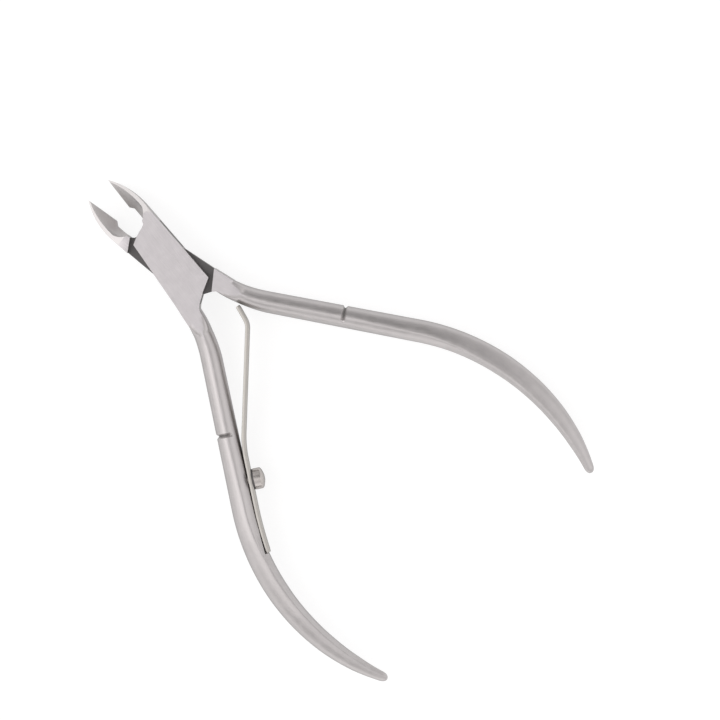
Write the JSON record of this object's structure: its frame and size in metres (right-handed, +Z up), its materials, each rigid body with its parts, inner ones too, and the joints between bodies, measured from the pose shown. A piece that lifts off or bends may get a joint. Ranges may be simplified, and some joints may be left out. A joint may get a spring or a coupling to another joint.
{
  "type": "cuticle nipper",
  "caption": "Satin steel box-joint cuticle nipper with fine pointed jaws, curved tapering handles and a screwed leaf spring.",
  "frame": {"origin": "where the pivot axis meets the lower joint face", "axes": "+X from the pivot to the jaws, +Y towards the handle that carries the spring, +Z up through the joint along the pivot axis"},
  "size_m": [0.1047, 0.0664, 0.0073],
  "materials": {
    "satin_steel": "satin, finely brushed stainless steel",
    "spring_steel": "satin rolled spring steel",
    "screw_steel": "turned steel, slightly brighter edges"
  },
  "bodies": {
    "outer": {"outer_lever": "satin_steel", "pivot_pin": "satin_steel", "spring_clamped_leaf": "spring_steel", "spring_screw": "screw_steel"},
    "inner": {"inner_lever": "satin_steel"},
    "leaf": {"spring_free_leaf": "spring_steel"}
  },
  "joints": [
    {"name": "handle_squeeze", "type": "hinge", "parent": "outer", "child": "inner", "pos_m": [0, 0, 0.0026], "axis": [0, 0, -1], "range_deg": [0, 15.5], "stiffness_Nm_per_rad": 0.8, "springref_deg": -4.98},
    {"name": "leaf_flex", "type": "hinge", "parent": "outer", "child": "leaf", "pos_m": [-0.03444, 0.01505, 0.0026], "axis": [0, 0, 1], "range_deg": [0, 12.4]}
  ],
  "couplings": [
    {"joint": "leaf_flex", "follows": "handle_squeeze", "ratio": 0.8}
  ]
}
